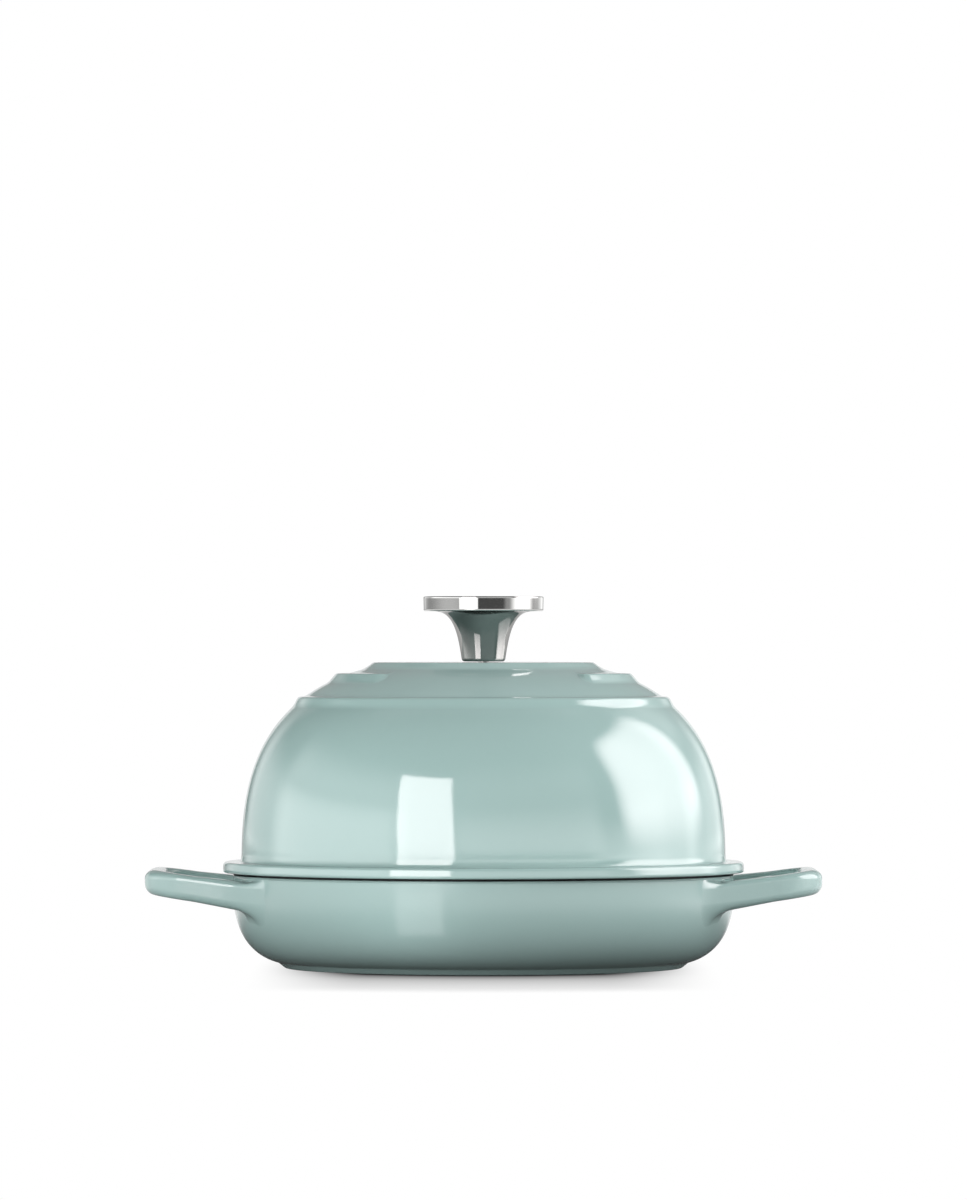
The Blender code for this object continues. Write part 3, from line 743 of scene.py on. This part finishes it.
def turn_between(first, second):
    """Smallest turn between angles."""
    return np.abs((first - second + math.pi) % math.tau - math.pi)


def lid_angles():
    """Column angles, close together at the ends of the middle ring's arcs and at the pads."""
    half_arc = math.pi / 2 - MIDDLE_RING_GAP
    ring_ends = [turn * math.pi + sign * half_arc for turn in (0, 1) for sign in (-1, 1)]
    marks = np.array(ring_ends + PAD_ANGLES) % math.tau
    angles = [0.0]
    while angles[-1] < math.tau - math.radians(LAST_COLUMN):
        close = turn_between(marks, angles[-1]).min() < math.radians(CLOSE_REACH)
        angles.append(angles[-1] + math.radians(CLOSE_COLUMN if close else PLAIN_COLUMN))
    return np.array(angles)


def pad_drop(radius, height, angles):
    """How far the three pads under the flange stand down at a radius on the flange's underside."""
    if abs(height) > 1e-6 or not PAD_RADIUS[0] < radius < PAD_RADIUS[1]:
        return np.zeros(len(angles))
    from_pad = np.min([turn_between(angles, pad) for pad in PAD_ANGLES], axis=0) * radius
    return -PAD_HEIGHT * np.clip((PAD_LENGTH / 2 - from_pad) / PAD_EASE, 0.0, 1.0)


def lid_lower_profile():
    """The lid's outline below its steps: the dome's side and flange, and the pads, the lip and the inside."""
    lower_start = lid_height(STEPPED_RADIUS, np.zeros(1))[0]
    fillet_top = FLANGE_THICKNESS + FLANGE_FILLET[1]
    dome = dome_run(DOME_RADIUS, DOME_RISE, lower_start, fillet_top, 44)[1:]
    wall = dome[-1][0]
    corner = Vector((wall, FLANGE_THICKNESS))
    fillet_end = Vector((wall + FLANGE_FILLET[0], FLANGE_THICKNESS))
    fillet = [tuple(place) for place in bend(Vector(dome[-1]), corner, fillet_end, 14)]
    pad_inner, pad_outer = PAD_RADIUS
    flange = fillet + rounded([
        fillet[-1],
        (FLANGE_RADIUS - FLANGE_DRAFT, FLANGE_THICKNESS, FLANGE_TOP_EDGE),
        (FLANGE_RADIUS, 0.0, FLANGE_LOW_EDGE),
        (pad_outer + PAD_CLEAR, 0.0),
    ], 9)
    start, end = PAD_SIDES
    pad_radii = (pad_outer - start, pad_outer - end, pad_inner + end, pad_inner + start)
    pads = [(radius, 0.0) for radius in pad_radii]
    lip_bottom = LID_LOW[2] - LID_SEAT
    lip = rounded([
        (pad_inner - PAD_CLEAR, 0.0),
        (LIP_OUTER, 0.0, 0.0006),
        (LIP_OUTER, lip_bottom, LIP_EDGE),
        (LIP_INNER, lip_bottom, LIP_EDGE),
        (LIP_INNER, 0.0),
    ], 6)
    inner_top = PLATEAU_TOP - LID_SEAT - LID_TOP_WALL
    inside = dome_run(LIP_INNER, DOME_RISE - LID_WALL, 0.0, inner_top, 60)[1:]
    inside += [(r, inner_top) for r in np.linspace(inside[-1][0], SCREW_HOLE, 8)[1:]]
    green = dome + flange[1:len(fillet)] + flange[len(fillet) + 1:]
    return green, pads + lip + inside


def build_lid(enamel, black):
    angles = lid_angles()
    cos, sin = np.cos(angles), np.sin(angles)
    rings = []
    for radius in top_radii():
        rings.append(np.stack([radius * cos, radius * sin, LID_SEAT + lid_height(radius, angles)], 1))
    green, dark = lid_lower_profile()
    lower = turned_rings(green + dark, angles, pad_drop)
    rings += [ring + np.array([0.0, 0.0, LID_SEAT]) for ring in lower]
    mesh = ring_mesh("lid_casting", rings, closed=True)
    underside = len(rings) - len(dark) - UNDERSIDE_ROWS
    paint_strips(mesh, underside * len(angles), len(mesh.polygons) - len(angles), 1)
    piece(mesh, "lid", [enamel, black], "dome_lid")


# Knob and its fixings


def turned_piece(name, corners, material, stands_for, columns, closed=True):
    """A turned piece of the knob or its fixings, from the rounded corners of its outline."""
    mesh = ring_mesh(name, turned_rings(rounded(corners, 8), even_angles(columns)), closed)
    return piece(mesh, "lid", [material], stands_for)


def build_knob_cap(material):
    """The pressed disc, open on the axis and turned in under the stem's plate."""
    top, bottom, radius = CAP_HIGH[2], CAP_LOW[2], CAP_HIGH[0]
    corners = [
        (0.0, top),
        (radius, top, 0.0008),
        (radius - DISC_DRAFT, bottom, 0.0009),
        (radius - DISC_CRIMP, bottom, 0.0005),
        (radius - DISC_CRIMP, bottom + SHEET, 0.0002),
        (radius - SHEET, bottom + SHEET, 0.0004),
        (radius - SHEET, top - SHEET, 0.0006),
        (0.0, top - SHEET),
    ]
    turned_piece("knob_disc", corners, material, "knob_cap", DISC_COLUMNS, closed=False)


def stem_radius(height, full):
    """Outer radius of the stem at a height above its foot, of its full height."""
    share = height / full
    flare = 1.0 - (1.0 - share**STEM_FLARE_POWER) ** (1.0 / STEM_FLARE_POWER)
    taper = STEM_FOOT + STEM_TAPER * height
    return taper + (CAP_HIGH[0] - STEM_INSET - STEM_FOOT - STEM_TAPER * full) * flare


def build_knob_stem(material):
    """The hollow stem: its plate under the disc, the flare, the foot with its lip, and up inside."""
    seat, full = STEM_LOW[2], CAP_LOW[2] - STEM_LOW[2]
    plate, plate_top = STEM_HIGH[0], STEM_HIGH[2]
    plate_bottom = plate_top - SHEET
    heights = full * np.sin(np.radians(np.linspace(90, 7, 44)))
    flare = [(stem_radius(height, full), seat + height) for height in heights]
    profile = rounded([
        (plate, plate_top, 0.0004),
        (plate, plate_bottom, 0.0004),
        (flare[0][0], plate_bottom),
    ], 5)
    profile += flare
    profile += rounded([
        flare[-1],
        (STEM_FOOT, seat, STEM_FOOT_EDGE),
        (STEM_LIP, seat, 0.0002),
        (STEM_LIP, seat + SHEET, 0.0002),
    ], 6)[1:]
    for height in np.linspace(SHEET, full - SHEET, 20):
        profile.append((stem_radius(height, full) - SHEET, seat + height))
    profile.append((CAP_HIGH[0] - STEM_INSET - SHEET, plate_top))
    mesh = ring_mesh("knob_flared_stem", turned_rings(profile, even_angles(STEM_COLUMNS)), closed=True)
    piece(mesh, "lid", [material], "knob_stem")


def build_washer(material):
    low, high, radius = WASHER_LOW[2], WASHER_HIGH[2], WASHER_HIGH[0]
    corners = [
        (radius, high, 0.0001),
        (radius, low, 0.0004),
        (SCREW_HOLE, low, 0.0002),
        (SCREW_HOLE, high, 0.0001),
    ]
    turned_piece("lid_washer", corners, material, "knob_washer", WASHER_COLUMNS)


def build_screw(material):
    """The screw, with its slotted pan head cut by a slim block."""
    low, tip, head = SCREW_LOW[2], SCREW_HIGH[2], SCREW_HIGH[0]
    head_top = low + SCREW_HEAD_HEIGHT
    corners = [
        (0.0, tip),
        (SHANK_RADIUS, tip, 0.0006),
        (SHANK_RADIUS, head_top, 0.0002),
        (head, head_top, 0.0003),
        (head, low, SCREW_HEAD_EDGE),
        (0.0, low),
    ]
    screw = turned_piece(
        "pan_head_screw", corners, material, "knob_screw", SCREW_COLUMNS, closed=False
    )
    end, side = head + CUT_PAST, SLOT_HALF_WIDTH
    outline = ((-end, -side), (end, -side), (end, side), (-end, side))
    block = [(x, y, z) for z in (low - CUT_PAST, low + SLOT_DEPTH) for x, y in outline]
    mesh = bpy.data.meshes.new("slot_cut")
    sides = [(i, (i + 1) % 4, (i + 1) % 4 + 4, i + 4) for i in range(4)]
    mesh.from_pydata(block, [], [(3, 2, 1, 0), (4, 5, 6, 7)] + sides)
    cutter = bpy.data.objects.new("slot_cut", mesh)
    bpy.context.scene.collection.objects.link(cutter)
    cut = screw.modifiers.new("slot", "BOOLEAN")
    cut.operation = "DIFFERENCE"
    cut.object = cutter
    evaluated = screw.evaluated_get(bpy.context.evaluated_depsgraph_get())
    done = bpy.data.meshes.new_from_object(evaluated)
    screw.modifiers.clear()
    screw.data = done
    done.set_sharp_from_angle(angle=SHARP_EDGE)
    bpy.data.objects.remove(cutter)


# Studio. Directions are azimuths in degrees from the front towards +X, and elevations in degrees.

FRONT_BOX = ((-41.0, -13.5), (0.0, 31.5))
FRONT_BOX_LIGHT = 7.0
FRONT_BOX_LEAN = 0.10
ROUND_BOX_CENTRE = (101.0, 23.0)
ROUND_BOX_SIZE = (29.0, 24.0)  # half width and half height
ROUND_BOX_EDGE = (0.40, 1.80)  # it fades between these, as 4th powers of the distance over its size
ROUND_BOX_FOOT = (-4.0, 11.0)  # elevations over which it fades in
ROUND_BOX_SIDE = (80.0, 130.0, 1.0, 0.6)  # it dims towards the back
ROUND_BOX_LIGHT = 6.1
BOX_TINT = (1.0, 0.94, 0.95)

# Walls and low glows: azimuths, elevations, softness (sides, bottom, top), strength
GLOWS = (
    ((69.0, 97.0), (-0.6, 14.0), (6.0, 1.2, 10.0), 0.4),  # foot of the round box
    ((-47.0, -11.0), (-5.0, 0.0), (3.0, 2.0, 1.0), 2.2),  # just below level, under the front box
    ((-118.0, -41.0), (-0.6, 11.0), (16.0, 1.2, 12.0), 2.6),  # left wall, low
    ((-118.0, -41.0), (9.0, 30.0), (16.0, 8.0, 20.0), 1.1),  # left wall, high
    ((-156.0, -118.0), (-0.6, 16.0), (16.0, 1.2, 16.0), 1.05),  # left wall, towards the back
    ((-14.0, 57.0), (0.8, 10.0), (10.0, 1.6, 14.0), 1.8),  # front wall, low
    ((55.0, 120.0), (-1.0, 6.0), (12.0, 1.2, 10.0), 1.5),  # right wall, low
    ((-14.0, 57.0), (10.0, 36.0), (10.0, 10.0, 18.0), 0.4),  # front wall, high
    ((116.0, 158.0), (-1.0, 14.0), (12.0, 1.2, 16.0), 1.2),  # right wall, towards the back
    ((118.0, 150.0), (20.0, 48.0), (16.0, 16.0, 24.0), 0.9),  # the same, high
    ((-200.0, -47.0), (-5.0, 0.0), (3.0, 2.0, 2.0), 0.42),  # just below level, left
    ((-100.0, -40.0), (-5.0, 0.0), (50.0, 2.0, 2.0), 0.35),  # the same, softer
    ((-14.0, 42.0), (-5.0, 0.0), (8.0, 2.0, 2.0), 0.10),  # just below level, front
    ((42.0, 200.0), (-5.0, 0.0), (10.0, 2.0, 2.0), 0.45),  # just below level, right
    ((58.0, 104.0), (-5.0, 0.0), (18.0, 2.0, 2.0), 1.5),  # just below level, under the round box
)
# The same with azimuths measured from the back, on both sides alike: back wall and ceiling
BACK_GLOWS = (
    ((-1.0, 30.0), (2.0, 60.0), (12.0, 20.0, 20.0), 0.36),
    ((-1.0, 75.0), (58.0, 95.0), (30.0, 16.0, 2.0), 0.40),
)
BACKDROP = ((-1.0, 14.0), (-0.5, 10.0), (3.0, 1.0, 3.0), 0.88)

# Table
TABLE_HALF = 2.00
TABLE_GLOW = 1.0
TABLE_PAINTED_SHADE = 0.05  # share of its glow that the table keeps under the oven, a painted shadow
TABLE_PAINTED_SHADE_REACH = (0.11, 0.37)  # distances over which the painted shadow gives way to the full glow
PAINTED_SIDE_POOL = ((0.42, 0.04, 0.0), 0.30, 0.4)  # a painted pool of light on the right: centre, radius and strength
FRONT_POOL_START = (0.0, -0.060, 0.0)  # a wedge of light that opens towards the front box
FRONT_POOL_SIDES = (-40.0, -18.5)
FRONT_POOL_SOFTNESS = 2.0
FRONT_POOL_REACH = (0.132, 0.148)  # distances over which it fades in
FRONT_POOL_END = (0.90, 1.20)  # distances over which it fades out
FRONT_POOL_LIGHT = 1.25
SHADOW_SIDES = (0.055, 0.114)  # the contact shadow fades out between these, left and right
SHADOW_REACH = 0.18
SHADOW_DEPTH = 1.02
SHADOW_SAMPLES = 32


def band(tree, value, limits, low_soft, high_soft=None):
    """1 between two limits and 0 outside them, eased over a soft edge centred on each limit."""
    high_soft = low_soft if high_soft is None else high_soft
    low, high = limits
    rise = tree.between(value, low - low_soft / 2, low + low_soft / 2)
    fall = tree.between(value, high - high_soft / 2, high + high_soft / 2, 1.0, 0.0)
    return tree.math("MULTIPLY", rise, fall)


def patch(tree, azimuth, elevation, across, up, softness, strength):
    """The light of one patch of the studio. softness is (sides, bottom, top)."""
    sides = band(tree, azimuth, across, softness[0])
    heights = band(tree, elevation, up, softness[1], softness[2])
    return tree.math("MULTIPLY", tree.math("MULTIPLY", sides, heights), strength)


def seen_rays(tree):
    """Two masks: rays from the camera alone, and these with the rays in mirror images and through glass."""
    path = tree.add("ShaderNodeLightPath").outputs
    share = tree.math("MAXIMUM", path["Is Camera Ray"], path["Is Glossy Ray"])
    return path["Is Camera Ray"], tree.math("MAXIMUM", share, path["Is Transmission Ray"])


def build_world():
    """Two soft boxes, pale walls and a white backdrop. The camera itself sees white all round."""
    world = bpy.data.worlds.new("studio")
    bpy.context.scene.world = world
    world.use_nodes = True
    world.node_tree.nodes.clear()
    tree = Tree(world.node_tree)
    x, y, z = tree.split(tree.add("ShaderNodeTexCoord").outputs["Generated"])
    azimuth = tree.math("DEGREES", tree.math("ARCTAN2", x, tree.math("MULTIPLY", y, -1.0)))
    elevation = tree.math("DEGREES", tree.math("ARCSINE", z))
    from_back = tree.math("SUBTRACT", 180.0, tree.math("ABSOLUTE", azimuth))

    across = tree.math("DIVIDE", tree.math("SUBTRACT", azimuth, ROUND_BOX_CENTRE[0]), ROUND_BOX_SIZE[0])
    up = tree.math("DIVIDE", tree.math("SUBTRACT", elevation, ROUND_BOX_CENTRE[1]), ROUND_BOX_SIZE[1])
    spread = tree.math("ADD", tree.math("POWER", across, 4.0), tree.math("POWER", up, 4.0))
    round_box = tree.between(spread, *ROUND_BOX_EDGE, ROUND_BOX_LIGHT, 0.0)
    round_box = tree.math("MULTIPLY", round_box, tree.between(elevation, *ROUND_BOX_FOOT))
    round_box = tree.math("MULTIPLY", round_box, tree.between(azimuth, *ROUND_BOX_SIDE))
    leaning = tree.math("MULTIPLY_ADD", elevation, FRONT_BOX_LEAN, azimuth)
    front_box = patch(tree, leaning, elevation, *FRONT_BOX, (1.0, 1.0, 1.0), FRONT_BOX_LIGHT)
    boxes = tree.math("ADD", round_box, front_box)

    light = 0.0
    for angle, glows in ((azimuth, GLOWS), (from_back, BACK_GLOWS)):
        for glow in glows:
            light = tree.math("ADD", light, patch(tree, angle, elevation, *glow))
    backdrop = patch(tree, from_back, elevation, *BACKDROP)
    camera, seen = seen_rays(tree)
    white = tree.math("MAXIMUM", camera, tree.math("MULTIPLY", backdrop, seen))
    tinted = tree.vector_math("SCALE", {0: BOX_TINT, "Scale": boxes})
    glow = tree.vector_math("ADD", {0: tinted, 1: light})
    colour = tree.mix(white, glow, (1.0, 1.0, 1.0, 1.0))
    background = tree.add("ShaderNodeBackground", {"Color": colour, "Strength": 1.0})
    tree.add("ShaderNodeOutputWorld", {"Surface": background.outputs[0]})


def build_floor():
    """The table. The camera sees it white with the oven's contact shadow, and all else sees its glow, with
    painted pools of light and a painted shadow under the oven.
    """
    mesh = bpy.data.meshes.new("studio_floor")
    half = TABLE_HALF
    corners = [(-half, -half, 0.0), (half, -half, 0.0), (half, half, 0.0), (-half, half, 0.0)]
    mesh.from_pydata(corners, [], [(0, 1, 2, 3)])
    floor = bpy.data.objects.new("studio_floor", mesh)
    bpy.context.scene.collection.objects.link(floor)
    material = bpy.data.materials.new("studio_floor")
    material.use_nodes = True
    tree = Tree(material.node_tree)
    material.node_tree.nodes.clear()
    place = tree.object_place()
    distance = tree.vector_math("LENGTH", {0: place}, "Value")
    # A painted pool of light on the table, to the right.
    centre, radius, strength = PAINTED_SIDE_POOL
    away = tree.vector_math("DISTANCE", {0: place, 1: centre}, "Value")
    painted_side_pool = tree.between(away, 0.0, radius, strength, 0.0)
    glow = tree.math("ADD", painted_side_pool, TABLE_GLOW)
    # The glow is held back under the oven: painted shadow on the table.
    glow = tree.math("MULTIPLY", glow, tree.between(distance, *TABLE_PAINTED_SHADE_REACH, TABLE_PAINTED_SHADE, 1.0))

    start_x, start_y, _ = tree.split(tree.vector_math("SUBTRACT", {0: place, 1: FRONT_POOL_START}))
    turn = tree.math("DEGREES", tree.math("ARCTAN2", start_x, tree.math("MULTIPLY", start_y, -1.0)))
    wedge = band(tree, turn, FRONT_POOL_SIDES, FRONT_POOL_SOFTNESS)
    front_pool = tree.math("MULTIPLY", wedge, FRONT_POOL_LIGHT)
    front_pool = tree.math("MULTIPLY", front_pool, tree.between(distance, *FRONT_POOL_REACH))
    front_pool = tree.math("MULTIPLY", front_pool, tree.between(distance, *FRONT_POOL_END, 1.0, 0.0))
    glow = tree.math("ADD", glow, front_pool)

    beside = tree.math("ABSOLUTE", tree.split(place)[0])
    inside = tree.between(beside, *SHADOW_SIDES, SHADOW_DEPTH, 0.0)
    shading = tree.add("ShaderNodeAmbientOcclusion", {"Distance": SHADOW_REACH}, samples=SHADOW_SAMPLES)
    hidden = tree.math("SQRT", tree.math("SUBTRACT", 1.0, shading.outputs["AO"]))
    white = tree.math("SUBTRACT", 1.0, tree.math("MULTIPLY", hidden, inside))
    camera = tree.add("ShaderNodeLightPath").outputs["Is Camera Ray"]
    strength = tree.add("ShaderNodeMix", {0: camera, 2: glow, 3: white}, data_type="FLOAT").outputs[0]
    shader = tree.add("ShaderNodeEmission", {"Strength": strength})
    tree.add("ShaderNodeOutputMaterial", {"Surface": shader.outputs[0]})
    mesh.materials.append(material)


def build_camera():
    """The camera, far off with a long lens, and the scene's own."""
    data = bpy.data.cameras.new("camera")
    camera = bpy.data.objects.new("camera", data)
    bpy.context.scene.collection.objects.link(camera)
    camera.location = (0.0, -CAMERA_DISTANCE, CAMERA_HEIGHT)
    aim = Vector((0.0, 0.0, AIM_HEIGHT)) - camera.location
    camera.rotation_euler = aim.to_track_quat("-Z", "Y").to_euler()
    data.sensor_fit = "VERTICAL"
    data.sensor_height = SENSOR_HEIGHT
    data.lens = data.sensor_height * aim.length / FRAME_HEIGHT
    data.clip_start = 0.05
    data.clip_end = 100.0
    bpy.context.scene.camera = camera


def main():
    enamel_lid = mint_glaze("lid_glaze", 0.0022, 0.0000120, 0.05, 0.04)
    enamel_pan = mint_glaze("pan_glaze", 0.0018, 0.0000210, 0.08, 0.05)
    black = black_coat()
    disc_steel = steel("disc_steel", (0.56, 0.56, 0.55), 0.035, 0.03, 0.0000002)
    # The stem's steel is darker than the disc's and dims what it mirrors at its edges: painted shade from the
    # disc above it.
    stem_steel = steel("stem_steel", (0.40, 0.40, 0.39), 0.02, 0.03, 0.00000005, 0.6)
    fixing_steel = steel("fixing_steel", (0.57, 0.57, 0.56), 0.22, 0.12, 0.0000012)

    build_pan(enamel_pan, black)
    build_handle(1, "handle_right", enamel_pan)
    build_handle(-1, "handle_left", enamel_pan)
    build_lid(enamel_lid, black)
    build_knob_cap(disc_steel)
    build_knob_stem(stem_steel)
    build_washer(fixing_steel)
    build_screw(fixing_steel)
    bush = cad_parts["knob_bush"]
    bush.data.materials.clear()
    bush.data.materials.append(fixing_steel)

    build_floor()
    build_world()
    build_camera()
    bpy.context.scene.view_settings.view_transform = "Standard"


main()
